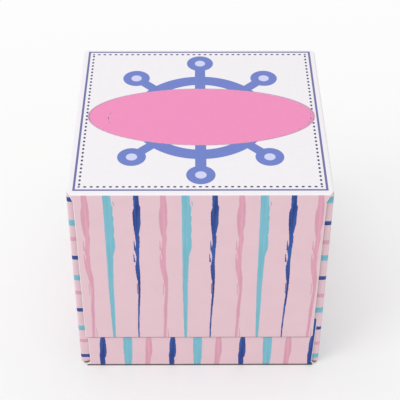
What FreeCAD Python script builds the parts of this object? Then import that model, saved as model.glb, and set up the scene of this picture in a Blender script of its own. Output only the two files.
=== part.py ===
import FreeCAD, Part
import math
import os
import Sketcher
from FreeCAD import Rotation, Vector

# A small sealed tissue carton, standing on its bottom panel.
# X runs across the closed ends, Y from one closed end to the other, +Z up.
# The origin is the middle of the bottom panel, and the end seen first faces -Y.
# The folded board and the stack of tissues it is sealed round are one solid.
SIZES = {
    "panel_width": 90.0,
    "carton_depth": 88.0,
    "carton_tall": 84.5,
    "board": 0.4,
    "fold_round": 0.8,
    "seam_reveal": 0.3,
    "glue_overlap": 10.5,
    "tip_above_base": 15.4,
    "flap_mitre": 3.0,
    "outer_root_inset": 0.8,
    "outer_edge_inset": 2.6,
    "outer_tip_inset": 2.9,
    "outer_sideways": -0.15,
    "inner_root_inset": 1.8,
    "inner_edge_inset": 2.9,
    "inner_tip_inset": 2.9,
    "inner_sideways": 0.4,
    "corner_hole": 0.8,
    "hole_inset": 0.35,
    "hole_sunk": 1.6,
    "oval_long": 80.6,
    "oval_short": 33.8,
    "oval_sideways": -0.4,
    "cut_long": 1.7,
    "cut_wide": 0.16,
    "cut_pitch": 2.6,
    "finger_bow": 7.0,
    "finger_from_middle": 32.8,
}

# How far each face of a closed end stands from the middle of the carton.
END_FACE = "sizes.carton_depth / 2"
MIDDLE_FACE = "sizes.carton_depth / 2 - sizes.board"
DUST_FACE = "sizes.carton_depth / 2 - 2 * sizes.board"
# How high the free edges of the closure flaps stand above the base.
OUTER_TIP = "sizes.tip_above_base"
INNER_TIP = "sizes.tip_above_base + sizes.glue_overlap"

doc = FreeCAD.newDocument("tissue_pack")


def make_sheet():
    sheet = doc.addObject("Spreadsheet::Sheet", "sizes")
    for row, (alias, value) in enumerate(SIZES.items(), start=1):
        sheet.set(f"A{row}", alias)
        sheet.set(f"B{row}", str(value))
        sheet.setAlias(f"B{row}", alias)
    doc.recompute()
    return sheet


def origin_plane(body, role):
    for feature in body.Origin.OriginFeatures:
        if feature.Role == role:
            return feature
    raise ValueError(role)


def make_sketch(body, name, role, lift="0"):
    """A sketch on one of the body's own planes, lifted off it by a formula."""
    sketch = body.newObject("Sketcher::SketchObject", name)
    sketch.AttachmentSupport = [(origin_plane(body, role), "")]
    sketch.MapMode = "FlatFace"
    sketch.setExpression("AttachmentOffset.Base.z", lift)
    doc.recompute()
    return sketch


def quarter_arc(start, end):
    """The quarter circle that bulges out of an outline drawn anticlockwise."""
    turning_up = (end.x - start.x) * (end.y - start.y) > 0
    centre = Vector(start.x, end.y, 0) if turning_up else Vector(end.x, start.y, 0)
    first = math.atan2(start.y - centre.y, start.x - centre.x)
    circle = Part.Circle(centre, Vector(0, 0, 1), abs(end.x - start.x))
    return Part.ArcOfCircle(circle, first, first + math.pi / 2)


def draw_outline(sketch, corners):
    """Closes an outline through corners given anticlockwise as formulas.

    A corner is (across, up), or (across, up, radius) where a quarter round
    of that radius leads to the next corner.
    """
    first = sketch.GeometryCount
    count = len(corners)
    places = []
    for corner in corners:
        across, up = (float(sketch.evalExpression(formula)) for formula in corner[:2])
        places.append(Vector(across, up, 0))
    for index, corner in enumerate(corners):
        start = places[index]
        end = places[(index + 1) % count]
        edge = quarter_arc(start, end) if len(corner) == 3 else Part.LineSegment(start, end)
        sketch.addGeometry(edge, False)
    for index, corner in enumerate(corners):
        edge = first + index
        before = first + (index - 1) % count
        sketch.addConstraint(Sketcher.Constraint("Coincident", before, 2, edge, 1))
        holds = [("DistanceX", corner[0], places[index].x), ("DistanceY", corner[1], places[index].y)]
        for kind, formula, value in holds:
            held = sketch.addConstraint(Sketcher.Constraint(kind, -1, 1, edge, 1, value))
            sketch.setExpression(f"Constraints[{held}]", formula)
        if len(corner) == 3:
            radius = float(sketch.evalExpression(corner[2]))
            held = sketch.addConstraint(Sketcher.Constraint("Radius", edge, radius))
            sketch.setExpression(f"Constraints[{held}]", corner[2])
    doc.recompute()


def pad(body, name, sketch, length, both_ways=False):
    feature = body.newObject("PartDesign::Pad", name)
    feature.Profile = sketch
    feature.SideType = "Symmetric" if both_ways else "One side"
    feature.setExpression("Length", length)
    doc.recompute()
    return feature


def pocket(body, name, sketch, length, both_ways=False):
    """A pocket cut into the carton from its sketch, checked to remove board."""
    before = body.Tip.Shape.Volume
    feature = body.newObject("PartDesign::Pocket", name)
    feature.Profile = sketch
    feature.SideType = "Symmetric" if both_ways else "One side"
    feature.setExpression("Length", length)
    doc.recompute()
    if not feature.Shape.Volume < before:
        raise ValueError(f"{name} removes nothing")
    return feature


def filled_tube(body):
    """The four panels round the tissues, from mid depth to the dust flaps' face."""
    half = "sizes.panel_width / 2"
    top = "sizes.carton_tall"
    fold = "sizes.fold_round"
    sketch = make_sketch(body, "panel_section", "XZ_Plane")
    draw_outline(sketch, [
        (f"-{half} + {fold}", "0"),
        (f"{half} - {fold}", "0", fold),
        (half, fold),
        (half, f"{top} - {fold}", fold),
        (f"{half} - {fold}", top),
        (f"-{half} + {fold}", top, fold),
        (f"-{half}", f"{top} - {fold}"),
        (f"-{half}", fold, fold),
    ])
    return pad(body, "filled_tube", sketch, "sizes.carton_depth / 2 - 2 * sizes.board")


def dust_flap_folds(body, tube):
    """Rounds the panels over at the end, which the dust flaps close innermost."""
    near_end = sheet.board - (sheet.carton_depth / 2 - 2 * sheet.board)
    folds = []
    for number, edge in enumerate(tube.Shape.Edges, start=1):
        box = edge.BoundBox
        if box.ZLength > sheet.carton_tall / 2 and box.YMax < near_end:
            folds.append(f"Edge{number}")
    rounding = body.newObject("PartDesign::Fillet", "dust_flap_folds")
    rounding.Base = (tube, folds)
    rounding.setExpression("Radius", "sizes.fold_round")
    doc.recompute()


def flap_waste(side, flap, root_up, mitre_up, tip_up):
    """What is cut away beside one long edge of a closure flap."""
    outward = "sizes.panel_width / 2"
    shift = f"sizes.{flap}_sideways"
    outside = f"{side} * ({outward} + sizes.fold_round)"
    return [
        (f"{side} * ({outward} - sizes.{flap}_root_inset) + {shift}", root_up),
        (f"{side} * ({outward} - sizes.{flap}_edge_inset) + {shift}", mitre_up),
        (f"{side} * ({outward} - sizes.{flap}_tip_inset) + {shift}", tip_up),
        (outside, tip_up),
        (outside, root_up),
    ]


def closure_flap(body, flap, section, face, depth, root_up, mitre_up, tip_up):
    """One closure flap with its rounded fold, cut to its mitred, tapered outline."""
    sketch = make_sketch(body, f"{flap}_flap_section", "YZ_Plane")
    draw_outline(sketch, section)
    pad(body, f"{flap}_flap", sketch, "sizes.panel_width - 2 * sizes.fold_round", both_ways=True)
    waste = make_sketch(body, f"{flap}_flap_waste", "XZ_Plane", face)
    for side in (-1, 1):
        draw_outline(waste, flap_waste(side, flap, root_up, mitre_up, tip_up))
    pocket(body, f"{flap}_flap_edges", waste, depth)


def outer_flap(body):
    """The long flap, down from the top panel and glued over the inner flap.

    Above the inner flap it stands one board off the dust flaps.
    """
    top = "sizes.carton_tall"
    fold = "sizes.fold_round"
    closure_flap(
        body, "outer",
        [
            (f"-({END_FACE}) + {fold}", top, fold),
            (f"-({END_FACE})", f"{top} - {fold}"),
            (f"-({END_FACE})", OUTER_TIP),
            (f"-({MIDDLE_FACE})", OUTER_TIP),
            (f"-({MIDDLE_FACE})", f"{top} - 2 * {fold}"),
            (f"-({DUST_FACE}) + 2 * {fold}", f"{top} - 2 * {fold}"),
            (f"-({DUST_FACE}) + 2 * {fold}", top),
        ],
        END_FACE, "2 * sizes.board",
        top, f"{top} - sizes.flap_mitre", OUTER_TIP,
    )


def inner_flap(body):
    """The short flap, up from the bottom panel over the dust flaps."""
    fold = "sizes.fold_round"
    closure_flap(
        body, "inner",
        [
            (f"-({MIDDLE_FACE})", fold, fold),
            (f"-({MIDDLE_FACE}) + {fold}", "0"),
            (f"-({DUST_FACE}) + 2 * {fold}", "0"),
            (f"-({DUST_FACE}) + 2 * {fold}", f"2 * {fold}"),
            (f"-({DUST_FACE})", f"2 * {fold}"),
            (f"-({DUST_FACE})", INNER_TIP),
            (f"-({MIDDLE_FACE})", INNER_TIP),
        ],
        MIDDLE_FACE, "sizes.board",
        "0", "sizes.flap_mitre", INNER_TIP,
    )


def corner_holes(body):
    """The little openings left at each corner, where three folds meet."""
    sketch = make_sketch(body, "corner_hole_outlines", "XZ_Plane", END_FACE)
    for side in (-1, 1):
        near = f"{side} * (sizes.panel_width / 2 - sizes.hole_inset)"
        far = f"{side} * (sizes.panel_width / 2 - sizes.hole_inset - sizes.corner_hole)"
        for base, away in (("0", "1"), ("sizes.carton_tall", "-1")):
            edge = f"{base} + {away} * sizes.hole_inset"
            tip = f"{base} + {away} * (sizes.hole_inset + sizes.corner_hole)"
            draw_outline(sketch, [(near, edge), (far, edge), (near, tip)])
    pocket(body, "corner_holes", sketch, "sizes.hole_sunk")


def other_end(body):
    """The far end is closed the same way."""
    whole = body.newObject("PartDesign::Mirrored", "both_ends")
    whole.TransformMode = "Whole shape"
    whole.MirrorPlane = (origin_plane(body, "XZ_Plane"), [""])
    body.Tip = whole
    doc.recompute()


def glued_seam(body):
    """The seam along the lower left fold of the tube.

    The left panel ends there in a raw edge, over a glue tab that folds up
    from the bottom panel one board further in.
    """
    half = "sizes.panel_width / 2"
    fold = "sizes.fold_round"
    raw_edge = f"{fold} + sizes.seam_reveal"
    sketch = make_sketch(body, "seam_section", "XZ_Plane")
    draw_outline(sketch, [
        (f"-{half} + sizes.board", fold, fold),
        (f"-{half} + sizes.board + {fold}", "0"),
        (f"-{half} + sizes.board + {fold}", f"-{fold}"),
        (f"-{half} - {fold}", f"-{fold}"),
        (f"-{half} - {fold}", raw_edge),
        (f"-{half} + sizes.board", raw_edge),
    ])
    pocket(body, "glued_seam", sketch, "sizes.carton_depth", both_ways=True)


def along_oval(spacing):
    """Evenly spaced places round the tear-out oval, each with its direction."""
    steps = 1440
    points = []
    for step in range(steps + 1):
        turn = 2 * math.pi * step / steps
        across = sheet.oval_long / 2 * math.cos(turn)
        back = sheet.oval_short / 2 * math.sin(turn)
        points.append(Vector(across, back, 0))
    runs = [(b - a).Length for a, b in zip(points, points[1:])]
    count = round(sum(runs) / spacing)
    every = sum(runs) / count
    walked = every / 2
    for start, end, run in zip(points, points[1:], runs):
        walked += run
        if walked >= every:
            walked -= every
            yield start, (end - start).normalize()


def draw_cut(sketch, middle, along):
    """One knife cut of the tear line, a narrow slot."""
    ahead = along * (sheet.cut_long / 2)
    aside = Vector(-along.y, along.x, 0) * (sheet.cut_wide / 2)
    corners = [
        middle - ahead - aside,
        middle + ahead - aside,
        middle + ahead + aside,
        middle - ahead + aside,
    ]
    for start, end in zip(corners, corners[1:] + corners[:1]):
        sketch.addGeometry(Part.LineSegment(start, end), False)


def tear_out(body):
    """Knife cuts through the top panel, round the oval that is torn out.

    A bow of shorter spacing near the left end is where a finger pushes in.
    """
    sketch = make_sketch(body, "tear_line", "XY_Plane", "sizes.carton_tall")
    sideways = Vector(sheet.oval_sideways, 0, 0)
    for middle, along in along_oval(sheet.cut_pitch):
        draw_cut(sketch, middle + sideways, along)
    for step in range(-2, 3):
        turn = math.pi + step * sheet.cut_pitch / sheet.finger_bow
        place = Vector(math.cos(turn), math.sin(turn), 0) * sheet.finger_bow
        along = Vector(-math.sin(turn), math.cos(turn), 0)
        draw_cut(sketch, place - Vector(sheet.finger_from_middle - sheet.finger_bow, 0, 0), along)
    doc.recompute()
    pocket(body, "tear_line_cuts", sketch, "sizes.board")


def check(body):
    """Stops before anything is written if a feature or the solid is unsound."""
    for item in doc.Objects:
        if {"Invalid", "Error"} & set(item.State):
            raise ValueError(f"{item.Label} failed: {item.State}")
    shape = body.Shape
    if shape.isNull() or not shape.isValid() or len(shape.Solids) != 1:
        raise ValueError(f"{body.Label} is not one sound solid")


sheet = make_sheet()
carton = doc.addObject("PartDesign::Body", "tissue_carton")
carton.Label = "tissue_carton"
dust_flap_folds(carton, filled_tube(carton))
outer_flap(carton)
inner_flap(carton)
corner_holes(carton)
other_end(carton)
glued_seam(carton)
tear_out(carton)
carton.Placement = FreeCAD.Placement(Vector(0, 0, 0), Rotation())
doc.recompute()
check(carton)

os.makedirs("parts", exist_ok=True)
carton.Shape.exportStep(f"parts/{carton.Label}.step")
box = carton.Shape.BoundBox
print(f"{carton.Label}: {box.XLength:.3f} x {box.YLength:.3f} x {box.ZLength:.3f} mm")
print(f"volume {carton.Shape.Volume:.0f} cubic mm, {len(carton.Shape.Faces)} faces")
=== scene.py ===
import math

import bpy
from mathutils import Matrix, Vector


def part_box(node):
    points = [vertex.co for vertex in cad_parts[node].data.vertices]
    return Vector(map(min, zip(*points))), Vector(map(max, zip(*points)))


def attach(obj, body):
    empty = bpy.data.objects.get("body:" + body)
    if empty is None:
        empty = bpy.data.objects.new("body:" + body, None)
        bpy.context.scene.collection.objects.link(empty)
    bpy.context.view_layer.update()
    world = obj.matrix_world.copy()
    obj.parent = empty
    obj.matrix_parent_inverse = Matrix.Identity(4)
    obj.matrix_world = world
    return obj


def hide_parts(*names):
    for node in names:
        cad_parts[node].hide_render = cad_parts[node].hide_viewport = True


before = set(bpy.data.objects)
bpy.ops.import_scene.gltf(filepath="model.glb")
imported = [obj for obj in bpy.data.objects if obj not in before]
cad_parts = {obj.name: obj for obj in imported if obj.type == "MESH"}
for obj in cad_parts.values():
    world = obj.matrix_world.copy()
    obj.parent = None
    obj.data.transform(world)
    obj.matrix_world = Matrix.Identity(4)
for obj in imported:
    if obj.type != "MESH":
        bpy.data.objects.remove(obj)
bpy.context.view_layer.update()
MM = 0.001

# The view: the carton is seen from a little left of straight ahead and from above, at arm's length,
# so that the top panel and the glued front end fill the square frame.
camera_at = Vector((-1.97, -344.13, 336.58))
looking_down = math.radians(40.283)
turned_left = math.radians(-0.3586)
rolled = math.radians(0.1509)
camera_data = bpy.data.cameras.new("camera")
camera_data.sensor_width = 36
camera_data.lens = 105.8
camera_data.clip_start = 0.05
camera_data.clip_end = 20
camera = bpy.data.objects.new("camera", camera_data)
bpy.context.collection.objects.link(camera)
ahead = Vector((-math.sin(turned_left) * math.cos(looking_down),
                math.cos(turned_left) * math.cos(looking_down),
                -math.sin(looking_down)))
level = Vector((math.cos(turned_left), math.sin(turned_left), 0))
upright = level.cross(ahead)
sideways = math.cos(rolled) * level + math.sin(rolled) * upright
upwards = math.cos(rolled) * upright - math.sin(rolled) * level
camera_axes = [[sideways[k], upwards[k], -ahead[k]] for k in range(3)]
camera.location = camera_at * MM
camera.rotation_mode = "QUATERNION"
camera.rotation_quaternion = Matrix(camera_axes).to_quaternion()
bpy.context.scene.camera = camera

# The carton's form: one die-cut sheet of white-lined board, creased and folded round the tissues. Its
# four panels go round the long way, a tab at the lower left is glued behind the left panel, and each
# panel has a flap at both ends. The side flaps fold in first, the bottom one next, the top one last.
low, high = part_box("tissue_carton")
width, depth, tall = ((high[k] - low[k]) / MM for k in range(3))
right_face = width / 2
layer_pitch = 0.4
tab_layer = 3.4
side_layer = 2.9
fold = 0.8
bend = fold * math.pi / 2
seam_reveal = 0.3
seam_tab = 10.5
base_lift = 0.15
outer_tip = 15.35
inner_tip = 24.5
inner_lean = 0.035
dust_reach = 16.0
panel_bow = 0.25
side_print_scale = 1.02
side_print_even = 62.0
side_print_first = 12.0
side_print_crowd = 0.08
bottom_print_scale = 1.016
bottom_print_shift = 5.3
across_steps = 16
fold_steps = 6
flap_row_pitch = 5
crease_margin = 0.35


class Flap:
    """An end flap: its flat reach past the fold, and how far its two sides stand in from the panel's ends,
    at the root, past the mitre and at the tip. It leans in by a share of its length."""

    def __init__(self, reach, sides, tips, mitre, corner, root=(0, 0), lean=0.0):
        self.full = bend + reach
        self.lean = lean
        self.root = root
        self.sides = sides
        self.tips = tips
        self.mitre = mitre
        self.corner = corner

    def inset(self, side, distance):
        if distance < self.mitre:
            return self.root[side] + (self.sides[side] - self.root[side]) * distance / self.mitre
        share = (distance - self.mitre) / (self.full - self.mitre)
        rounded = max(distance - (self.full - self.corner), 0)
        cut_back = self.corner - math.sqrt(max(self.corner ** 2 - rounded ** 2, 0))
        return self.sides[side] + (self.tips[side] - self.sides[side]) * share + cut_back

    def distances(self):
        """Where the rows across the flap lie, from the start of its fold to its free edge."""
        folded = [bend * k / fold_steps for k in range(1, fold_steps + 1)]
        plain_to = self.full - self.corner
        steps = round((plain_to - self.mitre) / flap_row_pitch)
        plain = [self.mitre + (plain_to - self.mitre) * k / steps for k in range(steps + 1)]
        rounded = [math.sin(math.pi / 2 * k / fold_steps) for k in range(1, fold_steps + 1)]
        return folded + [bend + crease_margin] + plain + [plain_to + self.corner * share for share in rounded]


class Panel:
    """A panel of the blank: where it starts in the carton's section, the way it runs and how far, its layer
    at the ends, its print, the print's own coordinate at its start and how fast that grows, its end flaps,
    and how far its middle bows in."""

    def __init__(self, start, along, length, layer=0, zone="striped", print_from=0, print_way=1, flap=None,
                 bow=panel_bow):
        self.start = Vector(start)
        self.along = Vector(along)
        self.out = Vector((along[1], -along[0]))
        self.length = length
        self.end = depth / 2 - layer * layer_pitch - fold
        self.print_from = print_from
        self.print_way = print_way
        self.zone = zone
        self.flap = flap
        self.bow = bow

    def at(self, position):
        return self.start + self.along * position

    def printed(self, position):
        return self.print_from + self.print_way * position

    def stops(self):
        """The places of the columns: both ends, where a flap's root starts, beside the folds, and between."""
        first, last = self.flap.root if self.flap else (0, 0)
        inner_first, inner_last = first + crease_margin, self.length - last - crease_margin
        between = [inner_first + (inner_last - inner_first) * k / across_steps
                   for k in range(across_steps + 1)]
        root = [first] + between + [self.length - last]
        return [0] * (first > 0) + root + [self.length] * (last > 0), root


class SidePanel(Panel):
    """A side panel, whose stripes lie one above the other: their place goes by the height below the top, and
    they are a little further apart near the top and closer together near the bottom."""

    def printed(self, position):
        down = tall - self.at(position).y
        crowded = max(down - side_print_even, side_print_first - down, 0) * side_print_crowd
        crowded += side_print_scale * down
        return -self.print_way * (crowded - self.print_from)


outer_flap = Flap(tall - fold - outer_tip, sides=(1.75, 1.5), tips=(2.4, 1.8), mitre=3.9, corner=1.0)
inner_flap = Flap(inner_tip - base_lift - fold, sides=(2.4, 1.95), tips=(2.0, 1.0), mitre=2.2, corner=0.8,
                  lean=inner_lean)
right_dust_flap = Flap(dust_reach, sides=(0.05, 0.3), tips=(3.0, 3.0), mitre=2.6, corner=2.0)
left_dust_flap = Flap(dust_reach, sides=(0.3, 0.6), tips=(3.0, 3.0), mitre=2.6, corner=2.0, root=(0, 0.4))
glue_tab = Panel((layer_pitch - right_face, base_lift + fold + seam_tab), (0, -1), seam_tab,
                 layer=tab_layer, zone="plain", bow=0)
bottom_panel = Panel((layer_pitch + fold - right_face, base_lift), (1, 0), width - layer_pitch - 2 * fold,
                     print_from=bottom_print_scale * (right_face - layer_pitch - fold) - bottom_print_shift,
                     print_way=-bottom_print_scale, flap=inner_flap, bow=-base_lift)
right_panel = SidePanel((right_face, base_lift + fold), (0, 1), tall - base_lift - 2 * fold,
                        layer=side_layer, print_from=9.1, print_way=-1, flap=right_dust_flap)
top_panel = Panel((right_face - fold, tall), (-1, 0), width - 2 * fold,
                  zone="top", print_from=right_face - fold, print_way=-1, flap=outer_flap)
left_panel = SidePanel((-right_face, tall - fold), (0, -1), tall - fold - base_lift - seam_reveal,
                       layer=side_layer, print_from=8.75, flap=left_dust_flap)
panels = [glue_tab, bottom_panel, right_panel, top_panel, left_panel]
zones = ["top", "closing", "tucked", "striped", "plain", "edge", "inside"]

# The printed face of the folded blank, point by point: its place, the way it faces, and the spots of print
# at each facet's corners. The top's print goes right round its side folds and most of the way round its end
# folds. Where other neighbouring panels meet, their prints change half way round the fold.
corner_notch = 0.1
along_steps = 16
top_print_past_fold = 0.7
places = []
facings = []
facets = []


def add_point(across, facing_across, y, facing_y=0.0):
    """A point from its place in the carton's section and its distance along the carton."""
    places.append(Vector((across.x, y, across.y)))
    facings.append(Vector((facing_across.x, facing_y, facing_across.y)))
    return len(places) - 1


stations = []
stretches = []
roots = {}
for before, panel in zip([None] + panels, panels):
    if before:
        centre = panel.start - panel.out * fold
        run = bend / (2 * fold_steps)
        for step in range(1, 2 * fold_steps):
            share = step / (2 * fold_steps)
            out = before.out * math.cos(share * math.pi / 2) + panel.out * math.sin(share * math.pi / 2)
            end = before.end + (panel.end - before.end) * share - corner_notch * math.sin(share * math.pi)
            stations.append((centre + out * fold, out, end, 0))
        changes_at = fold_steps
        if top_panel in (before, panel):
            changes_at = 2 * fold_steps if before is top_panel else 0
        for step in range(changes_at):
            stretches.append((before, before.length + step * run, before.length + (step + 1) * run))
        for step in range(changes_at - 2 * fold_steps, 0):
            stretches.append((panel, step * run, (step + 1) * run))
    positions, root = panel.stops()
    roots[panel] = (len(stations) + positions.index(root[0]), root)
    for position in positions:
        bow = panel.bow * math.sin(math.pi * position / panel.length) ** 2
        stations.append((panel.at(position), panel.out, panel.end, bow))
    stretches += [(panel, start, stop) for start, stop in zip(positions, positions[1:])]

margin = crease_margin / (depth / 2)
rows = [(1 - margin) * (2 * k / along_steps - 1) for k in range(along_steps + 1)]
rows = [-1] + rows + [1]
tube = []
for place, out, end, bow in stations:
    sunk = [bow * math.cos(share * math.pi / 2) ** 2 for share in rows]
    tube.append([add_point(place - out * sink, out, share * end) for share, sink in zip(rows, sunk)])
for near, far, (panel, start, stop) in zip(tube, tube[1:], stretches):
    for k in range(len(rows) - 1):
        corners = [near[k], near[k + 1], far[k + 1], far[k]]
        across = [panel.printed(p) for p in (start, start, stop, stop)]
        facets.append((corners, [(a, places[c].y) for a, c in zip(across, corners)], panel.zone))

for panel, (first, root) in roots.items():
    if not panel.flap:
        continue
    for way, row in ((-1, 0), (1, len(rows) - 1)):
        line = [tube[first + k][row] for k in range(len(root))]
        spots = [(panel.printed(position), way * panel.end) for position in root]
        for distance in panel.flap.distances():
            start = panel.flap.inset(0, distance)
            stop = panel.length - panel.flap.inset(1, distance)
            angle = min(distance, bend) / fold
            flat = max(distance - bend, 0)
            drop = fold * (1 - math.cos(angle)) + flat
            y = way * (panel.end + fold * math.sin(angle) - panel.flap.lean * flat)
            next_line = []
            next_spots = []
            for position in root:
                share = (position - root[0]) / (root[-1] - root[0])
                position = start + (stop - start) * share
                next_line.append(add_point(panel.at(position) - panel.out * drop, panel.out * math.cos(angle),
                                           y, way * math.sin(angle)))
                next_spots.append((panel.printed(position), way * (panel.end + distance)))
            zone = panel.zone
            if panel is top_panel and distance > bend * top_print_past_fold:
                zone = "closing"
            if panel is bottom_panel:
                zone = "tucked"
            for k in range(len(root) - 1):
                corners = [line[k], line[k + 1], next_line[k + 1], next_line[k]]
                at = [spots[k], spots[k + 1], next_spots[k + 1], next_spots[k]]
                facets.append((corners[::-way], at[::-way], zone))
            line, spots = next_line, next_spots

# The board gets its thickness: a grey inner face behind the printed one, and cut edges all round, where the
# knife has pressed the printed face down a little and the white board shows.
board_thick = 0.36
crushed_wide = 0.18
crushed_deep = 0.11
directed = {}
for corners, spots, zone in facets:
    for k, corner in enumerate(corners):
        directed[(corner, corners[(k + 1) % 4])] = (spots[k], spots[(k + 1) % 4])
cut = {edge: spots for edge, spots in directed.items() if edge[::-1] not in directed}
inward = {}
for a, b in cut:
    across = facings[a].cross(places[b] - places[a]).normalized()
    for corner in (a, b):
        inward[corner] = inward.get(corner, Vector()) + across
count = len(places)
crushed = {corner: 2 * count + k for k, corner in enumerate(inward)}
points = list(places)
points += [place - facing * board_thick for place, facing in zip(places, facings)]
points += [places[corner] - facings[corner] * crushed_deep for corner in inward]
for corner, across in inward.items():
    points[corner] = places[corner] + across.normalized() * crushed_wide
everything = list(facets)
everything += [([c + count for c in reversed(corners)], spots[::-1], "inside")
               for corners, spots, zone in facets]
for (a, b), (spot_a, spot_b) in cut.items():
    at = [spot_b, spot_a, spot_a, spot_b]
    everything.append(([b, a, crushed[a], crushed[b]], at, "edge"))
    everything.append(([crushed[b], crushed[a], a + count, b + count], at, "edge"))

points = [Vector(max(low[k] / MM, min(high[k] / MM, point[k])) for k in range(3)) for point in points]
mesh = bpy.data.meshes.new("carton")
mesh.from_pydata([point * MM for point in points], [], [corners for corners, spots, zone in everything])
print_map = mesh.uv_layers.new(name="blank")
for polygon, (corners, spots, zone) in zip(mesh.polygons, everything):
    polygon.material_index = zones.index(zone)
    for loop, spot in zip(polygon.loop_indices, spots):
        print_map.data[loop].uv = spot
carton = bpy.data.objects.new("carton", mesh)
bpy.context.collection.objects.link(carton)

# The board's surface: ink under a thin varnish on white-lined board, with the faint grain of its fibres.
# The print goes by the place on the flat blank in millimetres, so that it runs on over the folds.
grain_per_mm = 1.1
fibres_per_mm = 5.0
fibre_share = 0.6
relief_strength = 0.25
relief_deep = 0.00005
varnish_rough = 0.42
bare_rough = 0.7
inner_rough = 0.75
rough_spread = 0.12
board_shine = 0.35


class Signal:
    """A value in a material's nodes. Operators on it add Math nodes, and node() adds any other node."""

    def __init__(self, tree, socket=None):
        self.tree = tree
        self.socket = socket

    def node(self, kind, settings=None, sockets=None, result=0):
        made = self.tree.nodes.new("ShaderNode" + kind)
        for name, setting in (settings or {}).items():
            if name == "stops":
                ramp = made.color_ramp
                while len(ramp.elements) < len(setting):
                    ramp.elements.new(1)
                for element, (place, colour) in zip(ramp.elements, setting):
                    element.position = place
                    element.color = (*colour, 1)
            else:
                setattr(made, name, setting)
        for name, given in (sockets or {}).items():
            if isinstance(given, Signal):
                self.tree.links.new(given.socket, made.inputs[name])
            else:
                made.inputs[name].default_value = given
        return Signal(self.tree, made.outputs[result] if made.outputs else None)

    def beside(self, result):
        """Another result of the same node."""
        return Signal(self.tree, self.socket.node.outputs[result])

    def math(self, operation, *others, clamp=False):
        values = dict(enumerate((self,) + others))
        return self.node("Math", {"operation": operation, "use_clamp": clamp}, values)

    def __add__(self, other):
        return self.math("ADD", other)

    __radd__ = __add__

    def __sub__(self, other):
        return self.math("SUBTRACT", other)

    def __rsub__(self, other):
        return self.node("Math", {"operation": "SUBTRACT"}, {0: other, 1: self})

    def __mul__(self, other):
        return self.math("MULTIPLY", other)

    __rmul__ = __mul__

    def __truediv__(self, other):
        return self.math("DIVIDE", other)

    def __abs__(self):
        return self.math("ABSOLUTE")

    def clamped(self):
        return self.math("ADD", 0, clamp=True)

    def below(self, limit, soft=0.12):
        """1 where the value is under the limit, with an edge as soft as given in the value's own unit."""
        return ((limit - self) / soft).math("ADD", 0.5, clamp=True)

    def larger(self, other):
        return self.math("MAXIMUM", other)

    def far(self, other):
        """The length of the line whose two sides are this value and the other."""
        return (self * self + other * other).math("SQRT")

    def wrapped(self, pitch, middle=0.0):
        return (self - middle).math("WRAP", pitch / 2, -pitch / 2)

    def over(self, ground, colour):
        """The colour laid over the ground where this value is 1: the Mix node's sockets 7, 6 and 2."""
        return self.node("Mix", {"data_type": "RGBA"}, {0: self, 6: ground, 7: colour}, result=2)

    def noise(self, per_unit=1.0, detail=2, roughness=0.5):
        """Soft noise at the place that this vector gives, with so many lumps to its unit."""
        sockets = {"Vector": self, "Scale": per_unit, "Detail": detail, "Roughness": roughness}
        return self.node("TexNoise", {"noise_dimensions": "3D"}, sockets)

    def joined(self, y, z=0.0):
        return self.node("CombineXYZ", None, {"X": self, "Y": y, "Z": z})

    def mirrored_or_seen(self):
        """1 for a ray from the camera, and for one that a glossy or clear surface sends on."""
        rays = self.node("LightPath")
        return rays.larger(rays.beside("Is Glossy Ray")).larger(rays.beside("Is Transmission Ray"))


def ink(red, green, blue):
    """A colour as a printer's proof gives it, 0 to 255, for a shader."""
    values = [c / 255 for c in (red, green, blue)]
    return (*[c / 12.92 if c <= 0.04045 else ((c + 0.055) / 1.055) ** 2.4 for c in values], 1)


def clean_material(name):
    material = bpy.data.materials.new(name)
    material.use_nodes = True
    material.node_tree.nodes.clear()
    return material


def start_material(name):
    """A new material, with the place on the blank in millimetres: as one vector, across and along."""
    material = clean_material(name)
    mesh.materials.append(material)
    spot = Signal(material.node_tree).node("UVMap", {"uv_map": "blank"})
    across = spot.node("SeparateXYZ", None, {"Vector": spot})
    return spot, across, across.beside(1)


def coated_board(colour, spot, rough=varnish_rough):
    grain = spot.noise(grain_per_mm, 3, 0.6)
    fibre = spot.noise(fibres_per_mm, 2, 0.6)
    bump = spot.node("Bump", None, {
        "Strength": relief_strength, "Distance": relief_deep, "Height": grain + fibre * fibre_share})
    surface = spot.node("BsdfPrincipled", None, {
        "Base Color": colour, "Roughness": grain * rough_spread + rough, "Normal": bump,
        "Specular IOR Level": board_shine})
    spot.node("OutputMaterial", None, {"Surface": surface})


# The ink on the top panel: a fine line and a row of short dashes round the edge, a ship's wheel in blue,
# and the pink oval that marks the part to tear out.
frame_middle = (0.08, 0.38)
frame_across = 42.96
frame_along = 42.3
frame_line = 0.8
dash_inset = 1.7
dash_pitch = 2.16
dash_radius = 0.4
dash_stretch = 0.16
wheel_middle = (0.25, 0.45)
wheel_inside = 19.76
wheel_outside = 25.15
wheel_spokes = 8
spoke_half = 1.95
handle_at = 33.93
handle_radius = 5.0
handle_eye = 1.95
oval_middle = (0.63, 0.5)
oval_across = 40.87
oval_along = 17.27
oval_soft = 0.006
oval_line = 0.16
oval_line_share = 0.45
mottle_per_mm = 0.35
top_white = (ink(246, 242, 246), ink(241, 238, 243))
line_blue = ink(108, 108, 162)
dash_blue = ink(70, 68, 106)
wheel_blue = (ink(112, 130, 205), ink(106, 124, 196))
eye_blue = ink(211, 213, 246)
oval_pink = (ink(244, 145, 193), ink(239, 140, 188))
oval_line_purple = ink(150, 105, 150)

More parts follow.
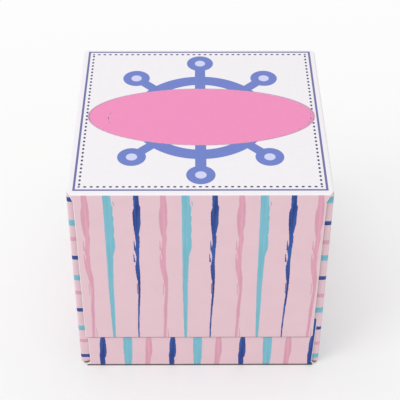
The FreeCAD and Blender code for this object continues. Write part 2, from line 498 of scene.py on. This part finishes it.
spot, x, y = start_material("top_print")
frame_x = x - frame_middle[0]
frame_y = y - frame_middle[1]
line_at = (abs(frame_x) - frame_across).larger(abs(frame_y) - frame_along)
frame_mask = abs(line_at + frame_line / 2).below(frame_line / 2)
dash_mask = 0
for one, other, one_reach, other_reach in ((frame_x, frame_y, frame_across, frame_along),
                                           (frame_y, frame_x, frame_along, frame_across)):
    row_at = abs(other) - (other_reach - frame_line / 2 - dash_inset)
    row_end = one_reach - frame_line / 2 - dash_inset + dash_radius
    dash = (abs(one.wrapped(dash_pitch)) - dash_stretch).larger(0).far(row_at).below(dash_radius)
    dash_mask = (dash * abs(one).below(row_end)).larger(dash_mask)
wheel_x = x - wheel_middle[0]
wheel_y = y - wheel_middle[1]
radius = wheel_x.far(wheel_y)
turn = wheel_y.math("ARCTAN2", wheel_x).wrapped(2 * math.pi / wheel_spokes)
spoke_across = radius * turn.math("SINE")
spoke_along = radius * turn.math("COSINE")
rim_mask = abs(radius - (wheel_inside + wheel_outside) / 2).below((wheel_outside - wheel_inside) / 2)
spoke_mask = abs(spoke_across).below(spoke_half) * radius.below(handle_at)
handle = (spoke_along - handle_at).far(spoke_across)
wheel_mask = rim_mask.larger(spoke_mask).larger(handle.below(handle_radius))
oval = ((x - oval_middle[0]) / oval_across).far((y - oval_middle[1]) / oval_along)
oval_edge = abs(oval - 1.0) * oval_along
mottle = spot.noise(mottle_per_mm, 3, 0.6)
colour = mottle.over(*top_white)
colour = frame_mask.over(colour, line_blue)
colour = dash_mask.over(colour, dash_blue)
colour = wheel_mask.over(colour, mottle.over(*wheel_blue))
colour = handle.below(handle_eye).over(colour, eye_blue)
colour = oval.below(1.0, oval_soft).over(colour, mottle.over(*oval_pink))
colour = (oval_edge.below(oval_line) * oval_line_share).over(colour, oval_line_purple)
coated_board(colour, spot)

# The ink on the rest: a pale pink ground with long brush strokes in pink, light blue and navy, which run
# the length of the panels, thin out down the closing flaps and keep their width on the tucked ones.
stroke_pitch = 26.53
stroke_reach = 72.0
edge_reach = 2.2
stroke_gather = 0.00009
brush_edge = 0.08
ragged_by = 0.4
ragged_across = 0.9
ragged_down = 0.8
streak_across = 1.3
streak_down = 0.06
streak_from = 0.35
streak_contrast = 3
cloud_per_mm = 0.12
ground_pink = (ink(235, 201, 210), ink(228, 195, 205))
stroke_pink = (ink(217, 158, 178), ink(229, 166, 188))
stroke_blue = (ink(115, 184, 199), ink(130, 193, 215))
stroke_navy = (ink(24, 52, 130), ink(44, 92, 168))
navy_bristles = ((20.8, -1.35, 25.3, -1.15, 0.1, 0.34), (27.0, -1.74, 30.8, -1.4, 0.1, 0.32),
                 (41.3, -0.95, 46.4, -0.82, 0.1, 0.12))
pink_bristles = ((20.8, -1.58, 25.3, -1.4, 0.12, 0.3), (27.0, -1.6, 31.5, -1.5, 0.12, 0.3),
                 (41.3, -0.75, 47.0, -0.72, 0.16, 0.14), (64.0, 0.55, 69.0, 0.7, 0.1, 0.15))
long_strokes = [
    (-12.4, stroke_pink, pink_bristles, (
        (0, -1.1, 0.7), (5, -1.05, 1.15), (8, -1.65, 1.25), (13, -1.6, 1.2), (16.5, -1.28, 0.65),
        (20, -0.65, 0.9), (23, -0.8, 0.6), (26, -1.25, 0.4), (28.5, -0.95, 0.4), (32.5, -1.7, 0.35),
        (35, -1.45, 0.55), (38, -0.85, 0.98), (40.5, -0.5, 0.98), (44.5, -0.15, 0.92), (49.5, -0.4, 0.7),
        (54.8, -0.85, 0.42), (60, -0.78, 0.3), (65, -1.0, 0.0), (70, -1.1, -0.15))),
    (-4.6, stroke_blue, ((2.9, 1.7, 4.8, 2.0, 0.14, 0.16),), (
        (0, -1.68, 1.0), (4, -1.66, 1.2), (6, -1.62, 1.65), (9, -1.62, 1.3), (10, -1.62, 1.75),
        (12.5, -1.6, 1.45), (16, -1.65, 1.72), (18, -1.66, 1.45), (21, -1.62, 1.75), (24, -1.62, 1.7),
        (28, -1.6, 0.75), (36, -1.6, 0.45), (44, -1.58, 0.22), (50, -1.52, 0.22), (58, -1.4, 0.05),
        (70, -1.12, -0.25))),
    (5.0, stroke_navy, navy_bristles, (
        (0, -0.95, 0.9), (4, -0.95, 0.95), (5.5, -0.9, 1.35), (8, -1.45, 1.3), (13, -1.35, 1.2),
        (18, -0.95, 0.45), (19, -0.85, 0.65), (22, -0.72, 0.6), (26, -1.15, 0.3), (28, -0.75, 0.28),
        (30.5, -0.95, 0.18), (33, -1.35, 0.25), (38, -1.05, 0.3), (40, -0.72, 0.28), (46, -0.62, 0.1),
        (52, -1.0, -0.25), (58, -1.2, -0.62), (64, -1.4, -0.84), (70, -1.45, -0.95))),
]
short_edges = [
    ((0, -0.3, 1.55), (3.9, -0.7, 1.45), (7.2, -1.3, 1.25), (8.5, -1.35, 1.4), (12, -1.15, 1.15),
     (15.4, -0.9, 0.7)),
    ((0, -0.9, 1.6), (4.5, -1.45, 1.7), (8.4, -1.45, 1.9), (12, -1.6, 1.8), (15.4, -1.5, 1.85)),
    ((0, -0.5, 1.4), (3.9, -0.55, 1.55), (5, -1.0, 1.6), (7.2, -1.25, 1.35), (11, -1.15, 1.3),
     (13.3, -1.0, 1.0), (15.4, -0.9, 0.6)),
]
short_strokes = [(middle, inks, (), edges)
                 for (middle, inks, bristles, long_edges), edges in zip(long_strokes, short_edges)]


def brushed(spot, across, down, strokes):
    """The pink ground with its strokes. Each has its place across the blank, its two inks, the marks that
    loose bristles left (start, offset, end, offset, half width at both), and its edges: the distance down
    from the fold, left and right, which a ramp looks up. Its place also keeps its noise its own."""
    colour = spot.noise(cloud_per_mm).over(*ground_pink)
    gathered = across * (down * stroke_gather + 1)
    for middle, inks, bristles, edges in strokes:
        stops = [(distance / stroke_reach, [(side / edge_reach + 1) / 2 for side in (left, right, 0)])
                 for distance, left, right in edges]
        found = down.node("ValToRGB", {"stops": stops}, {"Fac": down / stroke_reach})
        left = found.node("SeparateColor", None, {"Color": found})
        right = left.beside(1) * (2 * edge_reach) - edge_reach
        left = left * (2 * edge_reach) - edge_reach
        place = gathered.wrapped(stroke_pitch, middle)
        ragged = (place * ragged_across).joined(down * ragged_down, middle).noise(roughness=0.6)
        place = place + (ragged - 0.5) * ragged_by
        mask = place.below(right, brush_edge) * (left - place).below(0, brush_edge)
        for start, start_offset, stop, stop_offset, start_half, stop_half in bristles:
            share = ((down - start) / (stop - start)).clamped()
            offset = share * (stop_offset - start_offset) + start_offset
            half = share * (stop_half - start_half) + start_half
            mark = abs(place - offset).below(half, brush_edge) * down.below(stop) * (start - down).below(0)
            mask = mask.larger(mark)
        streak = (place * streak_across).joined(down * streak_down, middle).noise()
        colour = mask.over(colour, ((streak - streak_from) * streak_contrast).clamped().over(*inks))
    return colour


def past_fold(along, panel):
    """How far a spot on an end flap lies from the face of the panel that carries it."""
    return abs(along) - panel.end - (bend - fold)


spot, across, along = start_material("closing_print")
coated_board(brushed(spot, across, past_fold(along, top_panel), long_strokes), spot)

spot, across, along = start_material("tucked_print")
coated_board(brushed(spot, across, past_fold(along, bottom_panel), short_strokes), spot)

spot, across, along = start_material("striped_print")
coated_board(brushed(spot, across, abs(depth / 2 - abs(along)), long_strokes), spot)

# The bare board: off-white on the glue tab, white on the cut edges, and grey inside. The outer flaps' free
# edges,
# which face down, are brown: partly the board's brown core, partly painted shade for the dark line under the
# flap.
tab_white = (ink(225, 222, 220), ink(205, 200, 196))
edge_white = (ink(250, 247, 247), ink(230, 225, 223))
edge_brown_and_shade = (ink(182, 150, 146), ink(226, 206, 204))
brown_from = 0.6
brown_soft = 0.2
inner_grey = (ink(196, 190, 184), ink(170, 163, 156))

spot, across, along = start_material("plain_board")
coated_board(spot.noise(1.5, 3, 0.6).over(*tab_white), spot, bare_rough)

spot, across, along = start_material("cut_edge")
white_edge = spot.noise(3.0, 3, 0.6).over(*edge_white)
shaded_brown_edge = spot.noise(2.2, 3, 0.7).over(*edge_brown_and_shade)
# Partly painted shade: the outer flaps' downward free edges turn brown, darker than their white side edges.
free_edge_shade = (top_panel.end + outer_flap.full - brown_from - abs(along)).below(0, brown_soft)
coated_board(free_edge_shade.over(white_edge, shaded_brown_edge), spot, bare_rough)

spot, across, along = start_material("inside_grey")
coated_board(spot.noise(1.2, 4, 0.7).over(*inner_grey), spot, inner_rough)

# The tear line in the top panel: narrow knife cuts right through the board, one after another along an
# oval, and a short bow of them where a finger pushes in. The cuts' walls are the board's bare white.
cut_long = 1.7
cut_wide = 0.2
cut_pitch = 2.6
tear_middle = (0.1, 0.5)
tear_across = 40.25
tear_along = 17.07
finger_bow = 7.0
finger_middle = (-33.0, -0.7)
finger_cuts = 3
walk_steps = 1440
knife_clear = 0.3
smooth_under = math.radians(22)


def knife_places():
    """The middle and the direction of each cut."""
    turns = [2 * math.pi * step / walk_steps for step in range(walk_steps + 1)]
    line = [Vector((tear_across * math.cos(turn), tear_along * math.sin(turn))) for turn in turns]
    runs = [(after - before).length for before, after in zip(line, line[1:])]
    every = sum(runs) / round(sum(runs) / cut_pitch)
    walked = every / 2
    for before, after, run in zip(line, line[1:], runs):
        walked += run
        if walked >= every:
            walked -= every
            yield before + Vector(tear_middle), (after - before).normalized()
    for step in range(finger_cuts):
        turn = math.pi + (step - (finger_cuts - 1) / 2) * cut_pitch / finger_bow
        place = Vector((math.cos(turn), math.sin(turn))) * finger_bow
        place += Vector((finger_middle[0] + finger_bow, finger_middle[1]))
        yield place, Vector((-math.sin(turn), math.cos(turn)))


knife_points = []
knife_faces = []
for place, way in knife_places():
    aside = Vector((-way.y, way.x)) * cut_wide / 2
    onward = way * cut_long / 2
    base = len(knife_points)
    for height in (tall - panel_bow - layer_pitch - knife_clear, tall + knife_clear):
        for corner in (place - onward - aside, place + onward - aside,
                       place + onward + aside, place - onward + aside):
            knife_points.append(Vector((*corner, height)) * MM)
    knife_faces += [[base + k for k in face] for face in (
        (3, 2, 1, 0), (4, 5, 6, 7), (0, 1, 5, 4), (1, 2, 6, 5), (2, 3, 7, 6), (3, 0, 4, 7))]
knife_mesh = bpy.data.meshes.new("knife")
knife_mesh.from_pydata(knife_points, [], knife_faces)
knife_mesh.uv_layers.new(name="blank")
for material in mesh.materials:
    knife_mesh.materials.append(material)
for polygon in knife_mesh.polygons:
    polygon.material_index = zones.index("edge")
knife = bpy.data.objects.new("knife", knife_mesh)
bpy.context.collection.objects.link(knife)
cutting = carton.modifiers.new("tear_line", "BOOLEAN")
cutting.operation = "DIFFERENCE"
cutting.solver = "EXACT"
cutting.material_mode = "INDEX"
cutting.object = knife
evaluated = carton.evaluated_get(bpy.context.evaluated_depsgraph_get())
mesh = bpy.data.meshes.new_from_object(evaluated)
carton.modifiers.clear()
carton.data = mesh
bpy.data.objects.remove(knife)
mesh.shade_smooth()
mesh.set_sharp_from_angle(angle=smooth_under)
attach(carton, "root")
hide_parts("tissue_carton")

# The table: a sheet of white paper. Seen from the camera and in glosses, it is mixed with a white glow,
# painted light that is weak beside the carton and grows away from it and towards the back, so that the
# carton's shadow fades out and the paper pales with distance.
# Just under the carton, short of the round folds, it is painted dark grey with no glow: a painted contact
# shadow, which draws the line along the base.
reach = 3.0
near_over = 0.035
near_paler = 0.28
far_from = -0.1
far_over = 0.32
far_paler = 0.5
all_paler = 0.08
touch = 0.00005
painted_shadow_inset = 2.3
painted_shadow_soft = 0.0006
paper_rough = 0.6
paper_white = (ink(243, 244, 243), ink(246, 247, 246))
painted_shadow_grey = ink(118, 117, 117)
floor_mesh = bpy.data.meshes.new("table_paper")
floor_mesh.from_pydata([(-reach, -reach, 0), (reach, -reach, 0), (reach, reach, 0), (-reach, reach, 0)], [],
                       [(0, 1, 2, 3)])
floor = bpy.data.objects.new("table_paper", floor_mesh)
bpy.context.collection.objects.link(floor)
table_white = clean_material("table_white")
floor_mesh.materials.append(table_white)
spot = Signal(table_white.node_tree).node("TexCoord", result="Object")
side = spot.node("SeparateXYZ", None, {"Vector": spot})
back = side.beside(1)
clear = (abs(side) - width / 2 * MM).larger(0).far((abs(back) - depth / 2 * MM).larger(0))
near_glow = (clear / near_over).clamped()
far_glow = ((back - far_from) / far_over).clamped()
# The painted contact shadow: 1 in the carton's footprint, short of its left and right ends, where the paper
# is painted dark grey and gets no glow.
under = clear.below(touch, 2 * touch) * abs(side).below((width / 2 - painted_shadow_inset) * MM, painted_shadow_soft)
colour = under.over(spot.noise(3.0).over(*paper_white), painted_shadow_grey)
paper = spot.node("BsdfPrincipled", None, {"Base Color": colour, "Roughness": paper_rough})
pale = spot.node("Emission", None, {"Color": (1, 1, 1, 1), "Strength": 1.0})
# Painted light: the paper's share of white glow, more of it away from the carton and towards the back, and
# none in the painted contact shadow.
painted_light_share = (near_glow * near_paler + far_glow * far_paler + all_paler) * (1 - under)
surface = spot.node("MixShader", None, {0: spot.mirrored_or_seen() * painted_light_share, 1: paper, 2: pale})
spot.node("OutputMaterial", None, {"Surface": surface})

# The light: a plain bright room with one wide soft lamp at the left front, so that a faint soft shadow
# falls to the right.
room_strength = 0.8
backdrop_strength = 1.0
lamp_at = Vector((-0.8, -0.55, 1.1))
world = bpy.data.worlds.new("studio")
bpy.context.scene.world = world
world.use_nodes = True
world.node_tree.nodes.clear()
studio = Signal(world.node_tree)
room = studio.node("Background", None, {"Color": (1, 1, 1, 1), "Strength": room_strength})
backdrop = studio.node("Background", None, {"Color": (1, 1, 1, 1), "Strength": backdrop_strength})
surface = studio.node("MixShader", None, {0: studio.mirrored_or_seen(), 1: room, 2: backdrop})
studio.node("OutputWorld", None, {"Surface": surface})
lamp_data = bpy.data.lights.new("key_lamp", "AREA")
lamp_data.shape = "DISK"
lamp_data.size = 0.8
lamp_data.energy = 5.8
lamp = bpy.data.objects.new("key_lamp", lamp_data)
bpy.context.collection.objects.link(lamp)
lamp.location = lamp_at
aim = Vector((0, 0, tall / 2 * MM)) - lamp_at
lamp.rotation_mode = "QUATERNION"
lamp.rotation_quaternion = aim.to_track_quat("-Z", "Y")

bpy.context.scene.view_settings.view_transform = "Standard"
